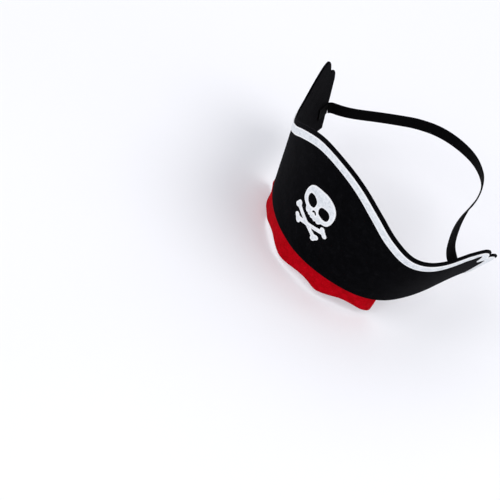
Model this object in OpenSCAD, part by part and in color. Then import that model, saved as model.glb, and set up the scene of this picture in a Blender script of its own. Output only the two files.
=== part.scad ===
// Child's felt pirate hat: one black felt panel curved round the brow, with a
// white edging, a skull over crossbones, a red frill under the front edge and
// an elastic strap that closes the loop behind the head. The black felt is one
// piece on the real hat. It is divided here where the wings flex.
// Millimetres. +Z is up, -Y is the front, +X is the viewer's right when the
// viewer faces the front. The origin is the middle of the head opening, level
// with the lower edge of the black felt.
//
// The panel is cut flat and bent without stretching. Its lower edge is a plane
// curve whose bend is given point by point, and the straight lines along which
// the felt stays straight lean outwards towards the wing tips. Every felt part
// is drawn in flat coordinates: x along the lower edge, z up the felt.

/* [Felt panel] */
// Thickness of the black felt
felt_t = 2; // [1.5:0.1:3]
// Height of the crown above the lower edge of the black felt
crown_h = 126; // [118:1:130]
// How strongly the whole panel is bent, 1 is as relaxed off the head
bend = 1; // [0.9:0.02:1.05]
// Distance from the front of the panel to the middle of the head opening
front_y = 90; // [80:1:100]

/* [Edging and badge] */
// Thickness of the white edging and of the white badge pieces
trim_t = 0.7; // [0.5:0.1:1]
// Black margin left outside the white edging along the crown
trim_margin = 4; // [3:0.5:5]
// Width of the white edging
trim_w = 7.5; // [6:0.5:8]

/* [Frill] */
// Thickness of the red felt
frill_t = 1.5; // [1:0.1:2]
// Height of the glued strip behind the black felt
frill_lap = 8; // [6:1:12]
// Height of the ripples at the lower edge of the frill
frill_wave = 2; // [1:0.25:3]

/* [Elastic strap] */
// Width of the elastic
strap_w = 13; // [10:0.5:15]
// Thickness of the elastic
strap_t = 1.2; // [0.8:0.1:1.5]
// Length of each glued end
tab_len = 14; // [12:1:16]

/* [Wing flex] */
// Open gap left at each line where a wing flexes
flex_gap = 0.8; // [0.6:0.1:1]

/* [Hidden] */

film = 0.12;                 // adhesive film between two layers
step = 3;                    // step along the lower edge while bending it
reach = 210;                 // half length of the bent line

// Bend of the lower edge, in thousandths of a radian per millimetre.
BEND = [[-190, 4.5], [-150, 3.5], [-115, 4], [-85, 13], [-55, 10.5], [-25, 9.5],
        [0, 12], [25, 7], [55, 11], [85, 21], [115, 8], [150, 1], [190, -5]];
// Lean of the straight lines of the bent felt: run per rise.
LEAN = [[-190, -0.58], [-100, -0.24], [0, 0.03], [100, 0.42], [190, 0.76]];
// Upper outline of one half of the panel, from the middle to the wing.
CROWN = [[-20, crown_h - 2.5], [0, crown_h], [20, crown_h - 2.5], [38, 116], [58, 102.5], [77, 87],
         [96, 74], [110, 70.6], [125, 73], [144, 83], [155, 88], [160.5, 88.9], [166, 88]];
// The two rounded points at the wing's end, the notch between them, and the end edge.
POINT1 = [[156, 88.2], [160.5, 88.9], [165, 87.3], [169, 82.5], [172, 75.5], [174.2, 69], [176, 63]];
POINT2 = [[172, 68], [174.2, 69], [178.6, 68.2], [183.4, 65.8], [186.7, 62], [188.4, 57.5], [188.4, 52.8], [187, 47]];
END_FOOT = 174.2;            // foot of the end edge
// The white edging round the wing's end: outer point, then inner point.
EDGE_END = [[157, 84.6, 155.6, 77.4], [160.3, 85.2, 158.6, 78.6], [163.8, 84, 160.8, 78], [167.2, 80.6, 162.6, 75.6],
            [169.8, 75.6, 164, 71.2], [171.4, 71, 165.2, 66.6], [172.8, 67.2, 166.8, 61.6],
            [177.6, 66.4, 170.6, 60.9], [182, 64.2, 174.4, 60.4], [185.1, 60.7, 177.4, 58.4],
            [186.7, 56.8, 178.7, 55], [186.6, 52.4, 178.4, 49.6], [180, 27.6, 172, 25.6], [173.3, 1.6, 165.6, 1.6]];
// Depth of the frill below the black felt along its length.
FRILL = [[-98, 30], [-73, 29.5], [-61, 26.5], [-45, 23], [-28, 23.5], [-15, 24.5], [-5, 23], [8, 20.5], [19, 20],
         [31, 22.5], [38, 21.5], [46, 20], [54, 18], [61, 18], [70, 20], [77, 23], [86, 26]];
// The wings' ends are cut a little shorter, the right one more: shifts along and down the flat felt, by height.
CUT_X = [[0, 9], [54, -5], [69, -1.5], [88, -0.5]];
CUT_Z = [[0, 0], [54, 12], [69, 8], [88, 7]];
CUT_LEFT = [[0, 0], [57, 4], [69, 2], [80, 0]];
// Lines where the wings flex: foot of the line on the lower edge.
FLEX_L = -102;
FLEX_R = 102;
// Middle line of the free part of the elastic, from the left wing to the right.
STRAP = [[-107.3, 30.2, 30], [-105.3, 31.2, 30.6], [-102.8, 32.8, 31.2], [-98.7, 36, 31.7], [-93.3, 41.3, 32.2], [-87.4, 48.2, 33], [-75.4, 62.2, 35.6],
         [-62.8, 76.1, 38.2], [-49.7, 87.9, 41.3], [-32.5, 97.9, 44.4], [-12.1, 103.3, 46.6], [10.6, 103.1, 48.3], [28.8, 96.7, 48.3],
         [40.4, 86.1, 48.6], [49.9, 69.9, 47.5], [55.6, 51.8, 45.6], [62.1, 37.5, 43.4], [69, 26.6, 41.1], [77.1, 16.8, 39.1],
         [84.3, 10.4, 38], [89.5, 7.6, 37], [93.2, 6.6, 36.3]];
GLUE_L = [-169, 24];         // middle of the left glued end, on the flat felt
GLUE_R = [150, 24];          // middle of the right glued end

// ---- curves through chosen points
function slope(t, i) = let(a = max(i - 1, 0), b = min(i + 1, len(t) - 1)) (t[b][1] - t[a][1]) / (t[b][0] - t[a][0]);
function seg(t, x, i = 0) = (i >= len(t) - 2 || x < t[i + 1][0]) ? i : seg(t, x, i + 1);
function smooth(t, x0) =
    let(x = min(max(x0, t[0][0]), t[len(t) - 1][0]), i = seg(t, x), h = t[i + 1][0] - t[i][0], u = (x - t[i][0]) / h)
    (2 * u^3 - 3 * u^2 + 1) * t[i][1] + (u^3 - 2 * u^2 + u) * h * slope(t, i)
    + (3 * u^2 - 2 * u^3) * t[i + 1][1] + (u^3 - u^2) * h * slope(t, i + 1);
function cr(p, i, u) = 0.5 * (2 * p[i] + (p[i + 1] - p[i - 1]) * u + (2 * p[i - 1] - 5 * p[i] + 4 * p[i + 1] - p[i + 2]) * u^2
    + (3 * p[i] - p[i - 1] - 3 * p[i + 1] + p[i + 2]) * u^3);
// Curve through p[1] .. p[len-2], n pieces to each span.
function curve(p, n) = concat([for (i = [1 : len(p) - 3], k = [0 : n - 1]) cr(p, i, k / n)], [p[len(p) - 2]]);

// ---- bending the felt
function unit(v) = v / norm(v);
function turned(v, r, a) = v * cos(a) + cross(r, v) * sin(a) + r * (r * v) * (1 - cos(a));
function bent(s) = bend * lookup(s, BEND) / 1000;
function lean(s) = smooth(LEAN, s);
function next(st, d) =
    let(s = st[0], t = (lean(s) + lean(s + d)) / 2, r = unit(st[2] * t + st[3]),
        a = (bent(s) + bent(s + d)) / 2 * d * 180 / PI, ex = turned(st[2], r, a))
    [s + d, st[1] + (st[2] + ex) / 2 * d, ex, turned(st[3], r, a)];
START = [0, [0, -front_y, 0], [1, 0, 0], [0, 0, 1]];
function march(d) = [for (i = 0, st = START; i <= reach / step; i = i + 1, st = next(st, d)) st];
RIGHT = march(step);
LEFT = march(-step);
LINE = [for (i = [-reach / step : reach / step]) let(st = i < 0 ? LEFT[-i] : RIGHT[i]) [st[1], st[2], st[3], lean(st[0])]];
function at(s) = let(f = min(max((s + reach) / step, 0), len(LINE) - 1.001), i = floor(f), u = f - i)
    LINE[i] * (1 - u) + LINE[i + 1] * u;
function foot(x, z, s, n) = n == 0 ? s : foot(x, z, 0.3 * s + 0.7 * (x - z * at(s)[3]), n - 1);
// Both wings' ends turn slightly outwards, the right one more.
function curl(x, z) = 4.7 * (min(max(x - 150, 0), 40) / 34)^2 * (0.4 + 0.6 * min(max(z / 45, 0), 1))
    + 2 * (min(max(-x - 155, 0), 35) / 33)^2 * min(max(z / 50, 0), 1);
// A point of the bent felt: x, z on the flat felt, n millimetres outwards from its middle layer.
function felt(x, z, n = 0) = let(a = at(foot(x, z, x, 14)))
    a[0] + (a[1] * a[3] + a[2]) * z + unit(cross(a[1], a[2])) * (n + curl(x, z));

// ---- outline of the flat panel
function crown(x) = smooth(CROWN, abs(x));
// Point d millimetres inside the crown line, square to it.
function inside(x, d) = let(m = (crown(x + 0.5) - crown(x - 0.5)), q = sqrt(1 + m^2)) [x + d * m / q, crown(x) - d / q];
// x at which the line d inside the crown meets a flex line.
function cut(d, f, x, n) = n == 0 ? x :
    let(p = inside(x, d)) cut(d, f, x - 0.6 * (p[0] - f - p[1] * lean(f)), n - 1);
// Flat point of a wing, with its end cut shorter.
function shaped(p, side) = side < 0 ? [p[0] + min(max((-165 - p[0]) / 15, 0), 1) * lookup(p[1], CUT_LEFT), p[1]] : let(w = min(max((p[0] - 145) / 20, 0), 1))
    [p[0] + w * lookup(p[1], CUT_X), p[1] - w * lookup(p[1], CUT_Z)];
function end_line(side) = let(a = curve(POINT1, 3), b = curve(POINT2, 3))
    [for (p = concat([for (i = [1 : len(a) - 1]) a[i]], [for (i = [1 : len(b) - 1]) b[i]])) [side * p[0], p[1]]];
// Evenly spread numbers.
function spread(a, b, n) = [for (i = [0 : n]) a + (b - a) * i / n];

// A closed sheet between two grids of points, the second one outwards.
module sheet(A, B) {
    nr = len(A); nc = len(A[0]); N = nr * nc;
    function a(i, j) = i * nc + j;
    function b(i, j) = N + i * nc + j;
    polyhedron(points = concat([for (r = A, p = r) p], [for (r = B, p = r) p]),
        faces = concat(
            [for (i = [0 : nr - 2], j = [0 : nc - 2]) each [[b(i, j), b(i, j + 1), b(i + 1, j + 1)], [b(i, j), b(i + 1, j + 1), b(i + 1, j)]]],
            [for (i = [0 : nr - 2], j = [0 : nc - 2]) each [[a(i, j), a(i + 1, j + 1), a(i, j + 1)], [a(i, j), a(i + 1, j), a(i + 1, j + 1)]]],
            [for (i = [0 : nr - 2]) each [[b(i, 0), b(i + 1, 0), a(i + 1, 0)], [b(i, 0), a(i + 1, 0), a(i, 0)]]],
            [for (i = [0 : nr - 2]) let(J = nc - 1) each [[b(i + 1, J), b(i, J), a(i, J)], [b(i + 1, J), a(i, J), a(i + 1, J)]]],
            [for (j = [0 : nc - 2]) each [[b(0, j + 1), b(0, j), a(0, j)], [b(0, j + 1), a(0, j), a(0, j + 1)]]],
            [for (j = [0 : nc - 2]) let(I = nr - 1) each [[b(I, j), b(I, j + 1), a(I, j + 1)], [b(I, j), a(I, j + 1), a(I, j)]]]));
}
// A sheet of the bent felt. G is a grid of flat points, its columns running up and following one another to the right.
module layer(G, n0, n1) {
    sheet([for (c = G) [for (p = c) felt(p[0], p[1], n0)]], [for (c = G) [for (p = c) felt(p[0], p[1], n1)]]);
}
// Columns from foot points F to top points T, in n steps.
function columns(F, T, n) = [for (i = [0 : len(F) - 1]) [for (k = [0 : n]) F[i] + (T[i] - F[i]) * k / n]];

function wing_top(side) = let(f = side * FLEX_R + side * flex_gap / 2, m = lean(side > 0 ? FLEX_R : FLEX_L),
        x = cut(0, f, f + 75 * m, 30))
    [for (p = concat([for (u = spread(x, side * 160.5, 11)) [u, crown(u)]], end_line(side))) shaped(p, side)];
function reversed(v) = [for (i = [len(v) - 1 : -1 : 0]) v[i]];
function ordered(v, side) = side > 0 ? v : reversed(v);

module panel_colour() { color([0.06, 0.06, 0.07]) children(); }
module white_colour() { color([0.93, 0.93, 0.92]) children(); }

module felt_front_panel() {
    f0 = FLEX_L + flex_gap / 2; f1 = FLEX_R - flex_gap / 2;
    x0 = cut(0, f0, f0 - 18, 30); x1 = cut(0, f1, f1 + 33, 30);
    n = 56;
    panel_colour() layer(columns([for (u = spread(f0, f1, n)) [u, 0]], [for (u = spread(x0, x1, n)) [u, crown(u)]], 9),
        -felt_t / 2, felt_t / 2);
}
module felt_wing(side) {
    T = wing_top(side);
    f = side * (FLEX_R + flex_gap / 2);
    e = side * shaped([END_FOOT, 0], side)[0];
    F = [for (i = [0 : len(T) - 1]) [f + (e - f) * i / (len(T) - 1), 0]];
    panel_colour() layer(columns(ordered(F, side), ordered(T, side), 7), -felt_t / 2, felt_t / 2);
}
module felt_left_wing() { felt_wing(-1); }
module felt_right_wing() { felt_wing(1); }

n_in = felt_t / 2 + film;
n_out = n_in + trim_t;
module white_edging_front() {
    f0 = FLEX_L + flex_gap / 2; f1 = FLEX_R - flex_gap / 2; n = 56; d = trim_margin + trim_w;
    xi = [cut(d, f0, f0 - 18, 30), cut(d, f1, f1 + 25, 30)];
    xo = [cut(trim_margin, f0, f0 - 18, 30), cut(trim_margin, f1, f1 + 30, 30)];
    white_colour() layer([for (i = [0 : n]) let(a = inside(xi[0] + (xi[1] - xi[0]) * i / n, d),
            b = inside(xo[0] + (xo[1] - xo[0]) * i / n, trim_margin)) [a, (a + b) / 2, b]], n_in, n_out);
}
module edging_wing(side) {
    f = side * (FLEX_R + flex_gap / 2); d = trim_margin + trim_w; n = 12;
    xi = cut(d, f, f + side * 25, 30); xo = cut(trim_margin, f, f + side * 30, 30);
    a = [for (i = [0 : n]) inside(xi + (side * 147 - xi) * i / n, d)];
    b = [for (i = [0 : n]) inside(xo + (side * 150 - xo) * i / n, trim_margin)];
    e = concat([for (i = [0 : n]) [a[i], (a[i] + b[i]) / 2, b[i]]],
        [for (q = EDGE_END) let(i = [side * q[2], q[3]], o = [side * q[0], q[1]]) [i, (i + o) / 2, o]]);
    white_colour() layer(ordered([for (c = e) [for (p = c) shaped(p, side)]], side), n_in, n_out);
}
module white_edging_left_wing() { edging_wing(-1); }
module white_edging_right_wing() { edging_wing(1); }

// The badge pieces are cut out of one bent white layer, drawn from the front.
module badge_layer(x0, x1, z0, z1) {
    nx = 12; nz = 6;
    layer([for (x = spread(x0, x1, nx)) [for (z = spread(z0, z1, nz)) [x, z]]], n_in, n_out);
}
module from_front() { translate([0, -front_y + 30, 0]) rotate([90, 0, 0]) linear_extrude(60) children(); }
module oval(c, rx, rz, tilt = 0, n = 28) {
    translate(c) rotate(tilt) polygon([for (k = [0 : n - 1]) [rx * cos(k * 360 / n), rz * sin(k * 360 / n)]]);
}
module skull_shape() {
    difference() {
        union() {
            oval([1.7, 64.8], 18.9, 16.8, -4, 48);
            polygon([[-12, 55], [-10, 50.5], [-8.6, 48.8], [-6, 48], [-3.5, 47.6], [-1.5, 47], [1, 47.4], [2.5, 46.8],
                     [5, 47.4], [7.2, 47.2], [9.2, 47.8], [11, 50.4], [14.5, 51.5], [17.5, 54], [18.8, 58], [10, 64], [-8, 64]]);
        }
        oval([-6.8, 62.9], 5.7, 6.6, 6);
        oval([9.6, 61.6], 6.1, 6.2, -6);
        oval([-0.5, 54.5], 1.5, 2, -20, 16);
        oval([1.7, 54.4], 1.5, 2, 20, 16);
    }
}
module bone(a, b) {
    u = (b - a) / norm(b - a); w = [-u[1], u[0]];
    polygon([a + w * 2, a - w * 2, b - w * 2, b + w * 2]);
    for (s = [-1, 1]) {
        translate(a + w * s * 2.2) circle(r = 2.5, $fn = 28);
        translate(b + w * s * 2.2) circle(r = 2.5, $fn = 28);
    }
}
module skull_badge() { white_colour() intersection() { badge_layer(-24, 28, 40, 86); from_front() skull_shape(); } }
module crossbones_badge() {
    white_colour() intersection() {
        badge_layer(-30, 26, 20, 54);
        from_front() difference() {
            union() { bone([-18.7, 45.7], [10.7, 31.4]); bone([-13.6, 33.2], [16.7, 44]); }
            offset(delta = 0.4) skull_shape();
        }
    }
}

// The frill hangs from behind the lower edge, and its ripples grow towards its own lower edge.
// Its left end stands a little outwards.
function ripple(x, z) = z >= 0 ? 0 : let(h = -z / 25, o = min(max((-68 - x) / 22, 0), 1))
    -frill_wave * h * (1 + sin(x * 360 / 50 + 40)) / 2 + 5.5 * h * o * o * (3 - 2 * o);
frill_in = -(felt_t / 2 + film + frill_t);
module red_frill() {
    xs = spread(-99, 86, 62); nz = 8;
    function z(x, k) = k < 2 ? frill_lap * (1 - k / 2) : -smooth(FRILL, x) * (k - 2) / (nz - 2);
    function mat(n) = [for (x = xs) [for (k = [nz : -1 : 0]) felt(x, z(x, k), n + ripple(x, z(x, k)))]];
    color([0.75, 0.02, 0.09]) sheet(mat(frill_in - film), mat(-(felt_t / 2 + 2 * film)));
}
module frill_glue_line() {
    color([0.85, 0.84, 0.78]) layer([for (x = spread(-96, 83, 56)) [[x, 2], [x, 5.5]]],
        -(felt_t / 2 + 1.75 * film), -(felt_t / 2 + 0.25 * film));
}

// ---- the elastic
tab_n = felt_t / 2 + 3 * film;
module strap_end(c, dir) {
    color([0.05, 0.05, 0.055]) layer([for (x = spread(c[0] - tab_len / 2, c[0] + tab_len / 2, 5))
        [for (z = spread(c[1] - strap_w / 2, c[1] + strap_w / 2, 2)) [x, z]]], -tab_n - strap_t, -tab_n);
}
module left_strap_end() { strap_end(GLUE_L, 1); }
module right_strap_end() { strap_end(GLUE_R, 1); }
module glue_dab(c) {
    color([0.85, 0.84, 0.78]) layer([for (x = spread(c[0] - tab_len / 2 + 1.5, c[0] + tab_len / 2 - 1.5, 5))
        [for (z = spread(c[1] - strap_w / 2 + 1.5, c[1] + strap_w / 2 - 1.5, 2)) [x, z]]], -tab_n + 0.05, -felt_t / 2 - 0.05);
}
module left_glue_dab() { glue_dab(GLUE_L); }
module right_glue_dab() { glue_dab(GLUE_R); }
module elastic_strap() {
    P = curve(concat([2 * STRAP[0] - STRAP[1]], STRAP, [2 * STRAP[len(STRAP) - 1] - STRAP[len(STRAP) - 2]]), 3);
    m = len(P) - 1;
    function side(i) = unit(cross(unit(P[min(i + 1, m)] - P[max(i - 1, 0)]), [0, 0, 1]));
    function row(i, n) = [for (h = [-1, 0, 1]) P[i] + [0, 0, h * strap_w / 2] + side(i) * n];
    // walking from the left wing to the right one the loop bulges backwards, so outwards is on the left hand
    color([0.05, 0.05, 0.055]) sheet([for (i = [m : -1 : 0]) row(i, strap_t / 2)], [for (i = [m : -1 : 0]) row(i, -strap_t / 2)]);
}

felt_front_panel();
felt_left_wing();
felt_right_wing();
white_edging_front();
white_edging_left_wing();
white_edging_right_wing();
skull_badge();
crossbones_badge();
red_frill();
frill_glue_line();
elastic_strap();
left_strap_end();
right_strap_end();
left_glue_dab();
right_glue_dab();
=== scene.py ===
import math
import bpy
import numpy as np
from mathutils import Matrix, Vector
from mathutils.geometry import delaunay_2d_cdt


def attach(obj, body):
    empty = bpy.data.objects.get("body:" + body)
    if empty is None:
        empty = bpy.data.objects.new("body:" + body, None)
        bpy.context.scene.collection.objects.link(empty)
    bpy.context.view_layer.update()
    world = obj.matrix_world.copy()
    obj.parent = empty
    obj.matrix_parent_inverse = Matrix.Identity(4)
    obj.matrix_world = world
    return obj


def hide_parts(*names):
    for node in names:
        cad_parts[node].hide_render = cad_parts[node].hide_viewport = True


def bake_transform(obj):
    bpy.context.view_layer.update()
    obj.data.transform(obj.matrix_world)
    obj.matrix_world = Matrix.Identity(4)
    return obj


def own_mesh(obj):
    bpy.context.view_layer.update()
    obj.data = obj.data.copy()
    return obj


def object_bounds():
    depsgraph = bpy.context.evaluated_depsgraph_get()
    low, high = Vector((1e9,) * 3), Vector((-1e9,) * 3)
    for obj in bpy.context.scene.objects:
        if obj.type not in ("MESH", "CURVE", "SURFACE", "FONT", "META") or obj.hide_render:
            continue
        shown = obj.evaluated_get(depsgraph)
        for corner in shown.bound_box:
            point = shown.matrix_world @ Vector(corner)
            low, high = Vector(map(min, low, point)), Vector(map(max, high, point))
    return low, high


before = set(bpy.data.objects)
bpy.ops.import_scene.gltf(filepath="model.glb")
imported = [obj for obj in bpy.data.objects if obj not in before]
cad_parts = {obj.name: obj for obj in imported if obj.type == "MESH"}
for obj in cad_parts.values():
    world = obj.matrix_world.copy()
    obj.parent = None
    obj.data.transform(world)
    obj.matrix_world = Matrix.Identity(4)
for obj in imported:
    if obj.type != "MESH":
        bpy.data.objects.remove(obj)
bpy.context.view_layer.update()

# ---------------------------------------------------------------- camera
cam_data = bpy.data.cameras.new("studio_camera")
camera = bpy.data.objects.new("studio_camera", cam_data)
bpy.context.scene.collection.objects.link(camera)
cam_data.sensor_width = 36
cam_data.lens = 144.1
cam_data.clip_end = 20
camera.matrix_world = Matrix(((0.59822731, -0.70473257, 0.38141328, 0.64751573),
                              (0.7481922, 0.32079343, -0.58077535, -1.14457531),
                              (0.28693643, 0.63280612, 0.7191828, 1.2581142),
                              (0, 0, 0, 1)))
bpy.context.scene.camera = camera

# ---------------------------------------------------------------- the flat pattern, millimetres, as in the CAD
BEND = [[-190, 4.5], [-150, 3.5], [-115, 4], [-85, 13], [-55, 10.5], [-25, 9.5],
        [0, 12], [25, 7], [55, 11], [85, 21], [115, 8], [150, 1], [190, -5]]
LEAN = [[-190, -0.58], [-100, -0.24], [0, 0.03], [100, 0.42], [190, 0.76]]
CROWN = [[-20, 123.5], [0, 126], [20, 123.5], [38, 116], [58, 102.5], [77, 87],
         [96, 74], [110, 70.6], [125, 73], [144, 83], [155, 88], [160.5, 88.9], [166, 88]]
POINT1 = [[156, 88.2], [160.5, 88.9], [165, 87.3], [169, 82.5], [172, 75.5], [174.2, 69], [176, 63]]
POINT2 = [[172, 68], [174.2, 69], [178.6, 68.2], [183.4, 65.8], [186.7, 62], [188.4, 57.5], [188.4, 52.8], [187, 47]]
END_FOOT = 174.2
EDGE_END = [[157, 84.6, 155.6, 77.4], [160.3, 85.2, 158.6, 78.6], [163.8, 84, 160.8, 78], [167.2, 80.6, 162.6, 75.6],
            [169.8, 75.6, 164, 71.2], [171.4, 71, 165.2, 66.6], [172.8, 67.2, 166.8, 61.6],
            [177.6, 66.4, 170.6, 60.9], [182, 64.2, 174.4, 60.4], [185.1, 60.7, 177.4, 58.4],
            [186.7, 56.8, 178.7, 55], [186.6, 52.4, 178.4, 49.6], [180, 27.6, 172, 25.6], [173.3, 1.6, 165.6, 1.6]]
FRILL = [[-107, 25], [-98, 28.5], [-73, 29.5], [-61, 26.4], [-45, 22.8], [-28, 23.3], [-15, 24.5], [-5, 23.1], [8, 20.6], [19, 19.9],
         [31, 22.7], [38, 21.6], [46, 19.8], [54, 17.9], [61, 17.9], [70, 20.1], [77, 23], [86, 26]]
# how the right wing's end was cut away from the pattern: shifts by height on the flat felt
CUT_X = [[0, 9], [54, -5], [69, -1.5], [88, -0.5]]
CUT_Z = [[0, 0], [54, 12], [69, 8], [88, 7]]
CUT_LEFT = [[0, 0], [57, 4], [69, 2], [80, 0]]
FELT_T, TRIM_T, TRIM_MARGIN, TRIM_W, FRILL_T, FILM = 2.0, 0.7, 4.0, 7.5, 1.5, 0.12
STRAP_W, STRAP_T = 13.0, 1.2
SEAM = 86.0            # ruling at which the panel's mesh is divided, well inside the part that stays still


def hermite(table, x):
    t = np.asarray(table, float)
    X, Y, n = t[:, 0], t[:, 1], len(t)
    m = np.array([(Y[min(i + 1, n - 1)] - Y[max(i - 1, 0)]) / (X[min(i + 1, n - 1)] - X[max(i - 1, 0)]) for i in range(n)])
    x = np.clip(x, X[0], X[-1])
    i = np.clip(np.searchsorted(X, x, side="right") - 1, 0, n - 2)
    h = X[i + 1] - X[i]
    u = (x - X[i]) / h
    return (2 * u**3 - 3 * u**2 + 1) * Y[i] + (u**3 - 2 * u**2 + u) * h * m[i] + (3 * u**2 - 2 * u**3) * Y[i + 1] + (u**3 - u**2) * h * m[i + 1]


def turned(v, r, a):
    return v * math.cos(a) + np.cross(r, v) * math.sin(a) + r * (r @ v) * (1 - math.cos(a))


REACH = 210
S = np.arange(-REACH, REACH + 1, 1.0)
S_LEAN = hermite(LEAN, S)
S_BEND = np.interp(S, [b[0] for b in BEND], [b[1] for b in BEND]) / 1000
S_POS = np.zeros((len(S), 3))
S_EX = np.zeros((len(S), 3))
S_EZ = np.zeros((len(S), 3))
S_POS[REACH], S_EX[REACH], S_EZ[REACH] = (0, -90, 0), (1, 0, 0), (0, 0, 1)
for d in (1, -1):
    i = REACH
    while 0 <= i + d < len(S):
        t = (S_LEAN[i] + S_LEAN[i + d]) / 2
        r = S_EX[i] * t + S_EZ[i]
        r /= np.linalg.norm(r)
        a = (S_BEND[i] + S_BEND[i + d]) / 2 * d
        S_EX[i + d], S_EZ[i + d] = turned(S_EX[i], r, a), turned(S_EZ[i], r, a)
        S_POS[i + d] = S_POS[i] + (S_EX[i] + S_EX[i + d]) / 2 * d
        i += d


def foot(x, z):
    s = np.array(x, float)
    for _ in range(40):
        s = 0.3 * s + 0.7 * (x - z * np.interp(s, S, S_LEAN))
    return s


def wave(x, z):
    """The slight unevenness of a soft felt panel, shared by everything that lies on it."""
    return (0.15 * np.sin(x / 12.3 + 0.7) * np.sin(z / 9.1 + 1.3 + x / 40)
            + 0.07 * np.sin(x / 5.1 + 2.1 + z / 13) * np.sin(z / 5.7 + 0.4)
            + 0.02 * np.sin(x / 1.9 + z / 3.1) * np.sin(z / 2.1 - x / 4.3))


def curl(x, z):
    """Both wings' ends turn slightly outwards, the right one more."""
    right = 4.7 * (np.clip(x - 150, 0, 40) / 34) ** 2 * (0.4 + 0.6 * np.clip(z / 45, 0, 1))
    return right + 2.0 * (np.clip(-x - 155, 0, 35) / 33) ** 2 * np.clip(z / 50, 0, 1)


def felt(x, z, n=0.0):
    """Points of the bent felt, in millimetres: x, z on the flat felt, n outwards from its middle layer."""
    x, z, n = np.broadcast_arrays(*[np.asarray(v, float) for v in (x, z, n)])
    s = foot(x, z)
    at = lambda A: np.stack([np.interp(s, S, A[:, j]) for j in range(3)], -1)
    ex, ez = at(S_EX), at(S_EZ)
    t = np.interp(s, S, S_LEAN)[..., None]
    c = np.cross(ex, ez)
    c /= np.linalg.norm(c, axis=-1, keepdims=True)
    return at(S_POS) + (ex * t + ez) * z[..., None] + c * (n + wave(x, z) + curl(x, z))[..., None]


def crown(x):
    return hermite(CROWN, np.abs(x))


def inside(x, d):
    m = crown(x + 0.5) - crown(x - 0.5)
    q = np.sqrt(1 + m**2)
    return np.stack([x + d * m / q, crown(x) - d / q], -1)


def cut(d, s):
    """x at which the line d inside the crown meets the rulings with feet s."""
    s = np.asarray(s, float)
    lean = np.interp(s, S, S_LEAN)
    x = s + 70 * lean
    for _ in range(60):
        p = inside(x, d)
        x = x - 0.5 * (p[..., 0] - s - p[..., 1] * lean)
    return x


def curve(p, n):
    """Curve through p[1] .. p[-2], n pieces to each span."""
    p = np.asarray(p, float)
    out = []
    for i in range(1, len(p) - 2):
        for k in range(n):
            u = k / n
            out.append(0.5 * (2 * p[i] + (p[i + 1] - p[i - 1]) * u + (2 * p[i - 1] - 5 * p[i] + 4 * p[i + 1] - p[i + 2]) * u * u
                              + (3 * p[i] - p[i - 1] - 3 * p[i + 1] + p[i + 2]) * u**3))
    out.append(p[-2])
    return np.array(out)


def resample(p, step):
    """The open polyline p again, at nearly equal steps."""
    L = np.concatenate([[0], np.cumsum(np.linalg.norm(np.diff(p, axis=0), axis=1))])
    n = max(2, int(round(L[-1] / step)))
    t = np.linspace(0, L[-1], n + 1)
    return np.stack([np.interp(t, L, p[:, j]) for j in range(p.shape[1])], -1)


def left_normals(p, closed=False):
    """Unit normals on the left hand of a polyline, lengthened at corners so that an offset keeps its width."""
    p = np.asarray(p, float)
    if closed:
        a, b = p - np.roll(p, 1, 0), np.roll(p, -1, 0) - p
    else:
        e = np.diff(p, axis=0)
        a, b = np.vstack([e[:1], e]), np.vstack([e, e[-1:]])
    na = np.stack([-a[:, 1], a[:, 0]], -1) / np.linalg.norm(a, axis=1, keepdims=True)
    nb = np.stack([-b[:, 1], b[:, 0]], -1) / np.linalg.norm(b, axis=1, keepdims=True)
    k = 1 + (na * nb).sum(1, keepdims=True)
    return (na + nb) / np.maximum(k, 0.5)


# ---------------------------------------------------------------- meshes
def make_object(name, flat_pts, faces, world=None, sharp=50, extra=None):
    flat_pts = np.asarray(flat_pts, float)
    co = (felt(flat_pts[:, 0], flat_pts[:, 1], flat_pts[:, 2]) if world is None else np.asarray(world, float)) * 0.001
    me = bpy.data.meshes.new(name)
    me.from_pydata(co.tolist(), [], [list(map(int, f)) for f in faces])
    me.update()
    me.polygons.foreach_set("use_smooth", [True] * len(me.polygons))
    me.set_sharp_from_angle(angle=math.radians(sharp))
    at = me.attributes.new("flat", "FLOAT_VECTOR", "POINT")
    at.data.foreach_set("vector", flat_pts.astype(np.float32).ravel())
    if extra is not None:
        ea = me.attributes.new("rim", "FLOAT", "POINT")
        ea.data.foreach_set("value", np.asarray(extra, np.float32))
    me.update()
    ob = bpy.data.objects.new(name, me)
    bpy.context.scene.collection.objects.link(ob)
    return ob


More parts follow.
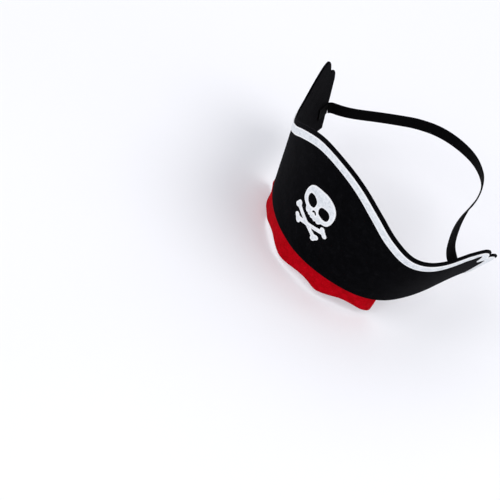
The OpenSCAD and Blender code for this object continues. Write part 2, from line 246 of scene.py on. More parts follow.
def slab(name, F, NF, T, NT, ends, rows, levels, lift=None, rim_width=1.3):
    """A closed sheet of felt. Columns run from foot points F to top points T; NF and NT point into the sheet.
    ends holds an inward normal for a real cut end and None for a seam. levels are (inset, n) from the outer face to the inner one."""
    F, NF, T, NT = [np.asarray(v, float) for v in (F, NF, T, NT)]
    m = len(F)
    frac = np.linspace(0, 1, rows + 1)

    def grid(a):
        A, B = F + a * NF, T + a * NT
        G = A[:, None] + (B - A)[:, None] * frac[None, :, None]
        for j, e in ((0, ends[0]), (m - 1, ends[1])):
            base = F[j] + (T[j] - F[j]) * frac[:, None]
            if e is not None:
                G[j, 1:-1] = base[1:-1] + a * np.asarray(e)
            else:
                G[j, 1:-1] = base[1:-1]
        return G

    idx = np.arange(m * (rows + 1)).reshape(m, rows + 1)
    loop = np.concatenate([idx[:, 0], idx[-1, 1:], idx[:-1, -1][::-1], idx[0, 1:-1][::-1]])
    n_loop, n_grid = len(loop), m * (rows + 1)
    pts, ring = [], []
    for k, (a, n) in enumerate(levels):
        G = grid(a).reshape(-1, 2)
        sel = np.arange(n_grid) if k in (0, len(levels) - 1) else loop
        base = sum(len(q) for q in pts)
        pts.append(np.column_stack([G[sel], np.full(len(sel), n)]))
        ring.append(base + (loop if len(sel) == n_grid else np.arange(n_loop)))
    P = np.vstack(pts)
    if lift is not None:
        P[:, 2] += lift(P[:, 0], P[:, 1])
    faces = []
    back = len(P) - n_grid
    q = np.stack([idx[:-1, :-1], idx[1:, :-1], idx[1:, 1:], idx[:-1, 1:]], -1).reshape(-1, 4)
    faces += q.tolist() + (q[:, ::-1] + back).tolist()
    for A, B in zip(ring[:-1], ring[1:]):
        faces += np.stack([A, B, np.roll(B, -1), np.roll(A, -1)], -1).tolist()
    # how near each point is to the long edges, 1 at the edge
    g = grid(0)
    width = np.linalg.norm(g[:, -1] - g[:, 0], axis=1)
    dist = np.minimum(frac[None, :], 1 - frac[None, :]) * width[:, None]
    near = np.clip(1 - dist.ravel() / rim_width, 0, 1)
    extra = np.ones(len(P))
    extra[:n_grid] = near
    extra[back:] = near
    return make_object(name, P, faces, extra=extra)


FELT_LEVELS = [(0.6, 1.0), (0.28, 0.93), (0.07, 0.66), (0.0, 0.25), (0.0, -0.25), (0.07, -0.66), (0.28, -0.93), (0.6, -1.0)]
N_IN = FELT_T / 2 + FILM
N_OUT = N_IN + TRIM_T
TRIM_LEVELS = [(0.3, N_OUT), (0.12, N_OUT - 0.05), (0.02, N_OUT - 0.2), (0.0, N_OUT - 0.38), (0.0, N_IN)]


def shaped(p, side):
    """Flat points of a wing, mirrored to the right, with its end cut as it really is."""
    p = np.asarray(p, float)
    if side < 0:
        w = np.clip((p[:, 0] - 165) / 15, 0, 1)
        return np.column_stack([p[:, 0] - w * np.interp(p[:, 1], [q[0] for q in CUT_LEFT], [q[1] for q in CUT_LEFT]), p[:, 1]])
    w = np.clip((p[:, 0] - 145) / 20, 0, 1)
    dx = np.interp(p[:, 1], [q[0] for q in CUT_X], [q[1] for q in CUT_X])
    dz = np.interp(p[:, 1], [q[0] for q in CUT_Z], [q[1] for q in CUT_Z])
    return np.column_stack([p[:, 0] + w * dx, p[:, 1] - w * dz])


def along_ruling(s, up=True):
    """Step along the ruling with foot s, one millimetre of height."""
    v = np.array([np.interp(s, S, S_LEAN), 1.0])
    return v if up else -v


def seam_ends(NF, NT, T, side_index, s):
    """At a seam the rounded edge stays in the seam: its step runs along the ruling."""
    NF[side_index] = along_ruling(s)
    m = crown(T[side_index][0] + 0.5) - crown(T[side_index][0] - 0.5)
    v = along_ruling(s, False)
    inward = np.array([m, -1.0]) / math.sqrt(1 + m * m)
    NT[side_index] = v / (v @ inward)


def panel_front():
    s = np.linspace(-SEAM, SEAM, 123)
    x = cut(0, s)
    F = np.column_stack([s, np.zeros_like(s)])
    T = np.column_stack([x, crown(x)])
    NF = np.tile([0.0, 1.0], (len(s), 1))
    m = crown(x + 0.5) - crown(x - 0.5)
    NT = np.column_stack([m, -np.ones_like(m)]) / np.sqrt(1 + m * m)[:, None]
    for j, f in ((0, -SEAM), (len(s) - 1, SEAM)):
        seam_ends(NF, NT, T, j, f)
    return slab("felt_front_panel_soft", F, NF, T, NT, (None, None), 72, FELT_LEVELS)


def panel_wing(side):
    f = side * SEAM
    x0 = float(cut(0, f)) * side
    top = np.column_stack([np.linspace(x0, 160.5, 60), np.zeros(60)])
    top[:, 1] = crown(top[:, 0])
    a = resample(curve(POINT1, 16), 0.75)
    b = resample(curve(POINT2, 16), 0.75)
    T = np.vstack([resample(top, 1.25), a[1:], b[1:]])
    L = np.concatenate([[0], np.cumsum(np.linalg.norm(np.diff(T, axis=0), axis=1))])
    u = L / L[-1]
    T = shaped(T, side)
    end = shaped([[END_FOOT, 0]], side)[0, 0]
    F = np.column_stack([SEAM + (end - SEAM) * u, np.zeros(len(T))])
    # walking from the seam to the end along the top, the sheet is on the right hand
    NT = -left_normals(T)
    NF = np.tile([0.0, 1.0], (len(F), 1))
    e = T[-1] - F[-1]
    e_in = np.array([-e[1], e[0]]) / np.linalg.norm(e)
    NF[-1] = (e_in + [0, 1]) / (1 + e_in @ [0, 1])
    NT[-1] = e_in
    F, T, NF, NT = [v * [side, 1] for v in (F, T, NF, NT)]
    seam_ends(NF, NT, T, 0, f)
    e_in = e_in * [side, 1]
    ends = [None, e_in]
    if side < 0:
        F, T, NF, NT = [v[::-1].copy() for v in (F, T, NF, NT)]
        ends = ends[::-1]
    name = "felt_left_wing_soft" if side < 0 else "felt_right_wing_soft"
    return slab(name, F, NF, T, NT, ends, 46, FELT_LEVELS)


def edging_front():
    d = TRIM_MARGIN + TRIM_W
    s = np.linspace(-SEAM, SEAM, 150)
    F, T = inside(cut(d, s), d), inside(cut(TRIM_MARGIN, s), TRIM_MARGIN)
    NF, NT = left_normals(F), -left_normals(T)
    for j, f in ((0, -SEAM), (-1, SEAM)):
        v = along_ruling(f)
        NF[j], NT[j] = v / (v @ NF[j]), v / (v @ NT[j])
    return slab("white_edging_front_soft", F, NF, T, NT, (None, None), 6, TRIM_LEVELS)


def edging_wing(side):
    d, f = TRIM_MARGIN + TRIM_W, side * SEAM
    n = 44
    xi, xo = float(cut(d, f)), float(cut(TRIM_MARGIN, f))
    a = inside(np.linspace(xi, side * 147, n), d) * [side, 1]
    b = inside(np.linspace(xo, side * 150, n), TRIM_MARGIN) * [side, 1]
    first = np.column_stack([a, b])
    E = np.array([[q[2], q[3], q[0], q[1]] for q in EDGE_END])
    turn = curve(np.vstack([first[-8], first[-1], E[:12], E[11] + (E[12] - E[11]) * 0.17]), 5)
    last = np.vstack([E[11] + (E[12] - E[11]) * u for u in np.linspace(0, 1, 15)[1:]]
                     + [E[12] + (E[13] - E[12]) * u for u in np.linspace(0, 1, 15)[1:]])
    A = np.vstack([first, turn[1:], last])
    F, T = shaped(A[:, :2], side), shaped(A[:, 2:], side)
    NF, NT = left_normals(F), -left_normals(T)
    e = T[-1] - F[-1]
    e_in = np.array([-e[1], e[0]]) / np.linalg.norm(e)
    if e_in[1] < 0:
        e_in = -e_in
    NF[-1] = NF[-1] + e_in
    NT[-1] = NT[-1] + e_in
    F, T, NF, NT = [v * [side, 1] for v in (F, T, NF, NT)]
    v = along_ruling(f)
    NF[0], NT[0] = v / (v @ NF[0]), v / (v @ NT[0])
    ends = [None, e_in * [side, 1]]
    if side < 0:
        F, T, NF, NT = [q[::-1].copy() for q in (F, T, NF, NT)]
        ends = ends[::-1]
    name = "white_edging_left_wing_soft" if side < 0 else "white_edging_right_wing_soft"
    return slab(name, F, NF, T, NT, ends, 6, TRIM_LEVELS)


def ripple(x, z):
    hang = np.clip(-z / 25, 0, 2)
    out = np.clip((-68 - x) / 22, 0, 1)
    tip = np.clip((-92 - x) / 15, 0, 1)
    return -2.0 * hang * (1 + np.sin(np.radians(x * 360 / 50 + 40))) / 2 + 5.0 * hang * out * out * (3 - 2 * out) + 3.5 * hang * tip * tip


def frill():
    n1 = -(FELT_T / 2 + 2 * FILM)
    n0 = -(FELT_T / 2 + FILM + FRILL_T) - FILM
    mid, half = (n0 + n1) / 2, (n1 - n0) / 2
    levels = [(a * 0.75, mid + n * half) for a, n in FELT_LEVELS]
    r = 2.5
    x0, x1 = -107.0, 86.0
    arc = np.linspace(0, math.pi / 2, 7)
    def corner(x, sx):
        z = -float(hermite(FRILL, x - sx * r))
        return np.array([[x - sx * r + sx * r * math.sin(t), z + r - r * math.cos(t)] for t in arc])
    mid_x = np.linspace(x0 + r, x1 - r, 130)
    F = np.vstack([corner(x0, -1)[::-1][:-1], np.column_stack([mid_x, -hermite(FRILL, mid_x)]), corner(x1, 1)[1:]])
    T = np.column_stack([np.linspace(x0, x1, len(F)), np.full(len(F), 8.0)])
    T[0, 0], T[-1, 0] = x0, x1
    NF, NT = left_normals(F), np.tile([0.0, -1.0], (len(F), 1))
    NF[0], NF[-1] = (1, 0), (-1, 0)
    NT[0], NT[-1] = (1, -1), (-1, -1)
    return slab("red_frill_soft", F, NF, T, NT, ((1, 0), (-1, 0)), 22, levels, lift=ripple)


# ---------------------------------------------------------------- the badge: plates cut from a bent layer
def closed_curve(p, step=0.55):
    p = np.asarray(p, float)
    q = curve(np.vstack([p[-1], p, p[:2]]), 10)
    q = resample(q, step)[:-1]
    return q


def area2(p):
    x, y = p[:, 0], p[:, 1]
    return float((x * np.roll(y, -1) - np.roll(x, -1) * y).sum()) / 2


def in_loops(pts, loops):
    ins = np.zeros(len(pts), bool)
    for L in loops:
        a, b = L, np.roll(L, -1, 0)
        for (x1, y1), (x2, y2) in zip(a, b):
            if y1 == y2:
                continue
            c = (pts[:, 1] >= min(y1, y2)) & (pts[:, 1] < max(y1, y2))
            ins ^= c & (pts[:, 0] < (x2 - x1) * (pts[:, 1] - y1) / (y2 - y1) + x1)
    return ins


def plate(name, loops, puff=0.1, spacing=1.25):
    """loops: the outer outline first, then holes."""
    loops = [L if (area2(L) > 0) == (i == 0) else L[::-1] for i, L in enumerate(loops)]
    norms = [left_normals(L, True) for L in loops]
    r = 0.3
    inner = [L + r * N for L, N in zip(loops, norms)]
    C = np.vstack(inner)
    lo, hi = C.min(0), C.max(0)
    gx, gz = np.meshgrid(np.arange(lo[0], hi[0], spacing), np.arange(lo[1], hi[1], spacing * 0.87))
    gx = gx + (np.arange(gx.shape[0]) % 2 * spacing / 2)[:, None]
    g = np.column_stack([gx.ravel(), gz.ravel()])
    g = g[in_loops(g, inner)]
    near = np.array([np.linalg.norm(C - q, axis=1).min() for q in g])
    g, near = g[near > 0.75], near[near > 0.75]
    V = np.vstack([C, g])
    edges, base = [], 0
    for L in inner:
        k = len(L)
        edges += [(base + i, base + (i + 1) % k) for i in range(k)]
        base += k
    vs, _, fs, ov, _, _ = delaunay_2d_cdt([tuple(v) for v in V.tolist()], edges, [], 0, 1e-6)
    back_to = [o[0] for o in ov]
    tris = np.array([[back_to[i] for i in f] for f in fs if len(f) == 3])
    keep = in_loops(V[tris].mean(1), inner)
    tris = tris[keep]
    t0 = V[tris]
    sgn = np.cross(t0[:, 1] - t0[:, 0], t0[:, 2] - t0[:, 0])
    tris[sgn < 0] = tris[sgn < 0][:, ::-1]
    nC, nV = len(C), len(V)
    dist = np.concatenate([np.zeros(nC), near])
    front = np.column_stack([V, N_OUT + puff * np.clip(dist / 2.2, 0, 1) ** 0.7])
    outer = np.vstack(loops)
    N = np.vstack(norms)
    rings = [np.column_stack([outer + a * N, np.full(nC, n)]) for a, n in TRIM_LEVELS[1:-1]]
    back = np.column_stack([np.vstack([outer, g]), np.full(nV, N_IN)])
    P = np.vstack([front] + rings + [back])
    starts = [0] + [nV + i * nC for i in range(len(rings))] + [nV + len(rings) * nC]
    faces = tris.tolist() + (tris[:, ::-1] + starts[-1]).tolist()
    base = 0
    for L in inner:
        k = len(L)
        i = base + np.arange(k)
        j = base + (np.arange(k) + 1) % k
        for A, B in zip(starts[:-1], starts[1:]):
            faces += np.stack([A + i, B + i, B + j, A + j], -1).tolist()
        base += k
    extra = np.ones(len(P))
    extra[:nV] = np.clip(1 - dist / 1.5, 0, 1)
    return make_object(name, P, faces, extra=extra)


SKULL = [(-13.6, 75.2), (-9.4, 78.6), (-4.2, 80.3), (1, 81.3), (5.7, 81.7), (11, 80.3), (15.4, 77.8), (18.8, 73.7), (20.4, 68.8),
         (20.5, 63.6), (19.5, 58.4), (17.4, 53.9), (14.5, 51.6), (11.1, 50.5), (8.9, 48), (7.2, 47.1), (6, 47.3), (5.1, 48.1), (4.3, 47.2),
         (3, 46.7), (1.9, 46.9), (1.2, 47.7), (0.4, 47), (-1, 46.8), (-2, 47.1), (-2.7, 48), (-3.5, 47.4), (-4.8, 47.3), (-5.7, 48.4),
         (-7, 47.9), (-8.5, 48.6), (-9.7, 50.4), (-10.3, 52.4), (-12.2, 53.6), (-14.8, 55.4), (-16.6, 58.1), (-17.2, 61.6), (-17.1, 66.4), (-15.8, 71.3)]
EYE_L = [(-11.3, 67.7), (-8.3, 69.3), (-4.8, 69.1), (-1.4, 66.3), (-1, 62.1), (-2.2, 58.1), (-5.4, 56.6), (-8.5, 56.7), (-11.4, 58.7), (-12.7, 63.1)]
EYE_R = [(5, 66), (8.4, 67.5), (12.3, 67.6), (15.2, 65.3), (15.9, 60.7), (14.1, 56.7), (10.5, 55.6), (7.1, 56.1), (4.1, 57.7), (3.3, 62.1)]
NOSE = [(-2.3, 53.4), (-1.8, 55), (-0.5, 56.3), (1.3, 56.4), (2.9, 55.1), (3, 53.3), (2.2, 52.7), (1.2, 53.4), (0.2, 54.1), (-0.8, 53.3), (-1.7, 52.8)]


def contour(f, x0, x1, z0, z1, h=0.3):
    """Closed outlines where f is 0, inside where it is below 0."""
    xs, zs = np.arange(x0, x1, h), np.arange(z0, z1, h)
    X, Z = np.meshgrid(xs, zs, indexing="ij")
    V = f(X, Z)
    links = {}
    pt = {}

    def cross(i, j, k, l):
        key = (i, j, k, l)
        if key not in pt:
            a, b = V[i, j], V[k, l]
            t = a / (a - b)
            pt[key] = (xs[i] + (xs[k] - xs[i]) * t, zs[j] + (zs[l] - zs[j]) * t)
        return key
    neg = V < 0
    for i, j in np.argwhere((neg[:-1, :-1] != neg[1:, :-1]) | (neg[:-1, :-1] != neg[:-1, 1:]) | (neg[:-1, :-1] != neg[1:, 1:])):
        c = [neg[i, j], neg[i + 1, j], neg[i + 1, j + 1], neg[i, j + 1]]
        e = [(i, j, i + 1, j), (i + 1, j, i + 1, j + 1), (i, j + 1, i + 1, j + 1), (i, j, i, j + 1)]
        on = [cross(*e[k]) for k in range(4) if c[k] != c[(k + 1) % 4]]
        pairs = [on] if len(on) == 2 else [on[:2], on[2:]]
        for a, b in pairs:
            links.setdefault(a, []).append(b)
            links.setdefault(b, []).append(a)
    loops, seen = [], set()
    for start in sorted(links):
        if start in seen:
            continue
        loop, k, prev = [], start, None
        while k is not None and k not in seen:
            seen.add(k)
            loop.append(pt[k])
            nxt = [q for q in links[k] if q != prev and q not in seen]
            prev, k = k, (nxt[0] if nxt else None)
        p = np.array(loop)
        for _ in range(6):
            p = 0.5 * p + 0.25 * (np.roll(p, 1, 0) + np.roll(p, -1, 0))
        loops.append(resample(np.vstack([p, p[:1]]), 0.55)[:-1])
    return sorted(loops, key=lambda q: -abs(area2(q)))


def bones_field(X, Z):
    def ball(c, r):
        return np.hypot(X - c[0], Z - c[1]) - r

    def shaft(a, b, r):
        a, b = np.array(a), np.array(b)
        u = b - a
        t = np.clip(((X - a[0]) * u[0] + (Z - a[1]) * u[1]) / (u @ u), 0, 1)
        waist = r - 0.35 * np.sin(np.pi * t)
        return np.hypot(X - a[0] - t * u[0], Z - a[1] - t * u[1]) - waist

    def join(p, q, k=1.0):
        h = np.clip(0.5 + 0.5 * (q - p) / k, 0, 1)
        return q * (1 - h) + p * h - k * h * (1 - h)
    d = join(shaft((-18.7, 45.7), (10.7, 31.4), 2.2), shaft((-13.6, 33.2), (16.7, 44), 2.2), 0.8)
    for c in ((-19.6, 43.9), (-17.9, 47.6), (9.2, 29.5), (12.1, 33.2), (-15.2, 35.2), (-12, 31.1), (14.6, 46.4), (18.7, 41.6)):
        d = join(d, ball(c, 2.45))
    return d


# ---------------------------------------------------------------- the elastic
# middle of the elastic and its tilt from upright in degrees
STRAP = [[-109, 27.4, 29, 0], [-108.9, 29.2, 29.6, 0], [-107.8, 30.5, 30.1, 0], [-105.6, 31.2, 30.7, 0], [-102.6, 32.9, 31.3, 0],
         [-98.7, 35.9, 31.7, 0], [-93.3, 41.3, 32.2, 0], [-87.4, 48.2, 33, 0], [-75.4, 62.2, 35.6, 0], [-62.8, 76.1, 38.2, 0],
         [-49.7, 87.9, 41.3, 0], [-32.5, 97.9, 44.4, 1], [-12.1, 103.3, 46.6, 4], [10.6, 103.1, 48.3, 10], [28.8, 96.7, 48.3, 15],
         [40.4, 86.1, 48.6, 11], [49.9, 69.9, 47.5, -3], [55.6, 51.8, 45.6, -12], [62.1, 37.5, 43.4, -17], [69, 26.6, 41.1, -16],
         [77, 16.4, 39, -15], [84.3, 10.6, 38, -15], [90, 8.5, 37, -15], [94.3, 8.5, 36.2, -15], [96.6, 7.7, 35.8, -15], [97.15, 5.9, 35.55, -15]]
TAB_N = FELT_T / 2 + 3 * FILM
GLUE_L, GLUE_R, TAB_LEN = (-169.0, 24.0), (150.0, 24.0), 14.0


def ribbon(name, C, W, N, length=None, ribs=11):
    """A knitted elastic band through centres C, its width along W and its thickness along N."""
    w, h = STRAP_W / 2, STRAP_T / 2
    u = np.linspace(-w + 0.35, w - 0.35, ribs * 5 + 1)
    ridge = h - 0.13 + 0.13 * np.abs(np.cos(np.pi * ribs * (u + w - 0.35) / (2 * w - 0.7)))
    prof = [(a, b) for a, b in zip(u, ridge)] + [(w - 0.12, 0.3), (w, 0.0), (w - 0.12, -0.3)]
    prof += [(a, -b) for a, b in zip(u[::-1], ridge[::-1])] + [(-w + 0.12, -0.3), (-w, 0.0), (-w + 0.12, 0.3)]
    prof = np.array(prof)
    k, m = len(prof), len(C)
    P = C[:, None] + W[:, None] * prof[None, :, :1] + N[:, None] * prof[None, :, 1:]
    L = np.concatenate([[0], np.cumsum(np.linalg.norm(np.diff(C, axis=0), axis=1))])
    flat = np.stack([np.repeat(L[:, None], k, 1), np.tile(prof[:, 0], (m, 1)), np.tile(prof[:, 1], (m, 1))], -1)
    P, flat = P.reshape(-1, 3), flat.reshape(-1, 3)
    i, j = np.meshgrid(np.arange(m - 1), np.arange(k), indexing="ij")
    a, b = i * k + j, i * k + (j + 1) % k
    faces = np.stack([a, b, b + k, a + k], -1).reshape(-1, 4).tolist()
    # flat cut ends: strips between the two faces of the band
    n = len(u)
    for base, flip in ((0, False), ((m - 1) * k, True)):
        top = np.arange(n)
        bot = (n + 3) + (n - 1 - top)
        q = [[top[t], bot[t], bot[t + 1], top[t + 1]] for t in range(n - 1)]
        q.append([top[-1], bot[-1], n + 2, n + 1, n])
        q.append([bot[0], top[0], k - 1, k - 2, k - 3])
        for f in q:
            f = [int(base + v) for v in f]
            faces.append(f[::-1] if flip else f)
    # make the faces point outwards whichever way the three directions turn
    t = C[1] - C[0]
    if np.dot(np.cross(W[0], N[0]), t) > 0:
        faces = [f[::-1] for f in faces]
    return make_object(name, flat, faces, world=P, sharp=40), float(L[-1])


def unit(v):
    return v / np.linalg.norm(v, axis=-1, keepdims=True)


def tab_frames(c, x):
    C = felt(x, np.full_like(x, c[1]), -TAB_N - STRAP_T / 2)
    W = unit(felt(x, np.full_like(x, c[1] + 2), -TAB_N - STRAP_T / 2) - felt(x, np.full_like(x, c[1] - 2), -TAB_N - STRAP_T / 2))
    T = unit(np.gradient(C, axis=0))
    N = unit(np.cross(T, W))
    return C, unit(np.cross(N, T)), N


def strap_end(side):
    c = GLUE_L if side < 0 else GLUE_R
    x = np.linspace(c[0] - TAB_LEN / 2, c[0] + TAB_LEN / 2, 21)
    C, W, N = tab_frames(c, x)
    ob, _ = ribbon("left_strap_end_knit" if side < 0 else "right_strap_end_knit", C, W, N)
    return ob


def elastic():
    P = np.array(STRAP)
    Q = curve(np.vstack([2 * P[0] - P[1], P, 2 * P[-1] - P[-2]]), 8)

    def even(Q, step):
        L = np.concatenate([[0], np.cumsum(np.linalg.norm(np.diff(Q[:, :3], axis=0), axis=1))])
        t = np.linspace(0, L[-1], int(round(L[-1] / step)) + 1)
        return np.stack([np.interp(t, L, Q[:, j]) for j in range(4)], -1)
    Q = even(Q, 1.0)
    for _ in range(10):
        Q[1:-1] = 0.5 * Q[1:-1] + 0.25 * (Q[:-2] + Q[2:])
    tilt = Q[:, 3].copy()
    for _ in range(60):
        tilt[1:-1] = 0.5 * tilt[1:-1] + 0.25 * (tilt[:-2] + tilt[2:])
    Q[:, 3] = tilt
    Q = even(Q, 1.1)
    C = Q[:, :3]
    T = unit(np.gradient(C, axis=0))
    L = np.concatenate([[0], np.cumsum(np.linalg.norm(np.diff(C, axis=0), axis=1))])
    up = np.tile([0.0, 0.0, 1.0], (len(C), 1))
    up = unit(up - T[:, 2:] * T)
    a = np.radians(Q[:, 3])[:, None]
    W = up * np.cos(a) + np.cross(T, up) * np.sin(a)
    _, WL, _ = tab_frames(GLUE_L, np.array([-180.0, -179.0]))
    _, WR, _ = tab_frames(GLUE_R, np.array([159.0, 160.0]))
    for D, Q in ((L, WL[0]), (L[-1] - L, WR[1])):
        k = 1 - np.clip(D / 15, 0, 1)
        k = (k * k * (3 - 2 * k))[:, None]
        W = W * (1 - k) + Q * k
    W = unit(W - (W * T).sum(1, keepdims=True) * T)
    N = unit(np.cross(T, W))
    return ribbon("elastic_strap_knit", C, W, N)


def glue_dab(side):
    c = GLUE_L if side < 0 else GLUE_R
    x = np.linspace(c[0] - TAB_LEN / 2 + 0.9, c[0] + TAB_LEN / 2 - 0.9, 24)
    e = np.sin(x * 1.9) * 0.25 + np.sin(x * 0.83 + 1) * 0.3
    bulge = 4.8 * np.clip(1 - ((x - c[0]) / (TAB_LEN / 2 - 0.7)) ** 6, 0.12, 1) ** 0.5
    F = np.column_stack([x, c[1] - bulge - e * 0.5])
    T = np.column_stack([x, c[1] + bulge + e[::-1] * 0.5])
    NF, NT = left_normals(F), -left_normals(T)
    lv = [(0.25, -1.03), (0.05, -1.12), (0.0, -1.2), (0.05, -1.28), (0.25, -1.335)]
    return slab("left_glue_dab_set" if side < 0 else "right_glue_dab_set", F, NF, T, NT, ((1, 0), (-1, 0)), 10, lv)


def glue_line():
    x = np.linspace(-96, 83, 180)
    w = 1.5 + 0.3 * np.sin(x * 0.61) + 0.25 * np.sin(x * 1.7 + 2)
    F = np.column_stack([x, 3.7 - w])
    T = np.column_stack([x, 3.7 + w * 0.9])
    NF, NT = left_normals(F), -left_normals(T)
    lv = [(0.2, -1.02), (0.04, -1.06), (0.0, -1.12), (0.04, -1.18), (0.2, -1.22)]
    return slab("frill_glue_line_set", F, NF, T, NT, ((1, 0), (-1, 0)), 4, lv)


# ---------------------------------------------------------------- materials
class Nodes:
    def __init__(self, name):
        self.m = bpy.data.materials.new(name)
        self.m.use_nodes = True
        self.t = self.m.node_tree
        self.t.nodes.clear()
        self.out = self.t.nodes.new("ShaderNodeOutputMaterial")
        self.b = self.t.nodes.new("ShaderNodeBsdfPrincipled")
        self.t.links.new(self.b.outputs[0], self.out.inputs[0])
        self.flat = self.node("ShaderNodeAttribute")
        self.flat.attribute_name = "flat"
        self.p = self.flat.outputs["Vector"]

    def node(self, kind, **props):
        n = self.t.nodes.new(kind)
        for k, v in props.items():
            setattr(n, k, v)
        return n

    def link(self, a, b):
        self.t.links.new(a, b)

    def mapped(self, scale=(1, 1, 1), rot=0.0, loc=(0, 0, 0), src=None):
        n = self.node("ShaderNodeMapping")
        n.inputs["Location"].default_value = loc
        n.inputs["Rotation"].default_value = (0, 0, rot)
        n.inputs["Scale"].default_value = scale
        self.link(src or self.p, n.inputs["Vector"])
        return n.outputs[0]

    def noise(self, scale, detail=2.0, rough=0.5, distort=0.0, src=None):
        n = self.node("ShaderNodeTexNoise")
        n.inputs["Scale"].default_value = scale
        n.inputs["Detail"].default_value = detail
        n.inputs["Roughness"].default_value = rough
        n.inputs["Distortion"].default_value = distort
        self.link(src or self.p, n.inputs["Vector"])
        return n.outputs[0]

    def math(self, op, a, b=None, c=None):
        n = self.node("ShaderNodeMath", operation=op)
        for k, v in enumerate((a, b, c)):
            if v is None:
                continue
            if isinstance(v, (int, float)):
                n.inputs[k].default_value = v
            else:
                self.link(v, n.inputs[k])
        return n.outputs[0]

    def ramp(self, fac, stops):
        n = self.node("ShaderNodeValToRGB")
        e = n.color_ramp.elements
        e[0].position, e[0].color = stops[0][0], (*stops[0][1], 1)
        e[1].position, e[1].color = stops[-1][0], (*stops[-1][1], 1)
        for pos, col in stops[1:-1]:
            q = e.new(pos)
            q.color = (*col, 1)
        self.link(fac, n.inputs[0])
        return n.outputs[0]

    def span(self, v, a, b, c, d):
        n = self.node("ShaderNodeMapRange")
        for k, q in zip(("From Min", "From Max", "To Min", "To Max"), (a, b, c, d)):
            n.inputs[k].default_value = q
        self.link(v, n.inputs["Value"])
        return n.outputs[0]

    def mix(self, fac, a, b, blend="MIX"):
        n = self.node("ShaderNodeMix", data_type="RGBA", blend_type=blend)
        self.link(fac, n.inputs[0]) if not isinstance(fac, float) else setattr(n.inputs[0], "default_value", fac)
        for k, v in ((6, a), (7, b)):
            if isinstance(v, tuple):
                n.inputs[k].default_value = (*v, 1)
            else:
                self.link(v, n.inputs[k])
        return n.outputs[2]

    def bump(self, height, distance, strength=1.0):
        n = self.node("ShaderNodeBump")
        n.inputs["Strength"].default_value = strength
        n.inputs["Distance"].default_value = distance
        self.link(height, n.inputs["Height"])
        self.link(n.outputs[0], self.b.inputs["Normal"])


def fibres(N, density=1.0, seed=0.0):
    """A mat of fine fibres lying every way in the felt, as a height from 0 to 1."""
    out = None
    for k, ang in enumerate((0.2, 0.95, 1.75, 2.55)):
        v = N.mapped(scale=(0.28, 2.3, 2.3), rot=ang, loc=(seed + 7.3 * k, 3.1 * k, 0))
        f = N.noise(1.55 * density, 3.0, 0.62, 0.35, v)
        out = f if out is None else N.math("MAXIMUM", out, f)
    return out


def felt_material(name, dark, mid, light, sheen, sheen_tint, rough=0.92, seed=0.0, mottle=0.16, bump=0.00016, spec=0.18):
    N = Nodes(name)
    fib = fibres(N, 1.0, seed)
    big = N.noise(mottle, 3.0, 0.55, 0.4, N.mapped(loc=(seed * 3, 1, 0)))
    mid_n = N.noise(0.75, 2.0, 0.5, 0.2)
    pill = N.noise(2.6, 2.0, 0.6)
    v = N.math("ADD", N.math("MULTIPLY", fib, 0.55), N.math("MULTIPLY", big, 0.45))
    v = N.math("ADD", v, N.math("MULTIPLY", N.math("SUBTRACT", mid_n, 0.5), 0.35))
    col = N.ramp(N.span(v, 0.42, 0.74, 0, 1), [(0.0, dark), (0.5, mid), (1.0, light)])
    N.link(col, N.b.inputs["Base Color"])
    N.link(N.span(pill, 0.3, 0.7, rough - 0.06, min(rough + 0.06, 1.0)), N.b.inputs["Roughness"])
    N.b.inputs["Specular IOR Level"].default_value = spec
    N.b.inputs["Sheen Weight"].default_value = sheen
    N.b.inputs["Sheen Roughness"].default_value = 0.45
    N.b.inputs["Sheen Tint"].default_value = (*sheen_tint, 1)
    h = N.math("ADD", N.math("MULTIPLY", fib, 1.0), N.math("MULTIPLY", big, 0.9))
    h = N.math("ADD", h, N.math("MULTIPLY", pill, 0.25))
    h = N.math("ADD", h, N.math("MULTIPLY", mid_n, 0.5))
    N.bump(h, bump * 2.2, 0.85)
    return N.m


def white_material(name, seed=0.0):
    """White bonded layer: bright along its cut edges, faintly grey and mottled inside them."""
    N = Nodes(name)
    rim = N.node("ShaderNodeAttribute")
    rim.attribute_name = "rim"
    blot = N.noise(0.34, 4.0, 0.62, 0.6, N.mapped(loc=(seed, 2, 0)))
    fine = N.noise(2.2, 3.0, 0.6)
    fib = fibres(N, 1.2, seed)
    v = N.math("ADD", N.math("MULTIPLY", blot, 0.7), N.math("MULTIPLY", fine, 0.3))
    inner = N.ramp(N.span(v, 0.36, 0.62, 0, 1), [(0.0, (0.60, 0.64, 0.67)), (0.45, (0.72, 0.755, 0.785)), (1.0, (0.86, 0.885, 0.91))])
    edge = N.ramp(fine, [(0.3, (0.9, 0.91, 0.925)), (0.7, (0.95, 0.955, 0.965))])
    col = N.mix(N.span(rim.outputs["Fac"], 0.1, 0.85, 0, 1), inner, edge)
    N.link(col, N.b.inputs["Base Color"])
    N.link(N.span(fine, 0.3, 0.7, 0.62, 0.82), N.b.inputs["Roughness"])
    N.b.inputs["Specular IOR Level"].default_value = 0.3
    N.b.inputs["Sheen Weight"].default_value = 0.12
    N.b.inputs["Sheen Roughness"].default_value = 0.5
    h = N.math("ADD", fib, N.math("MULTIPLY", blot, 0.7))
    h = N.math("ADD", h, N.math("MULTIPLY", fine, 0.3))
    N.bump(h, 0.0002, 0.6)
    return N.m


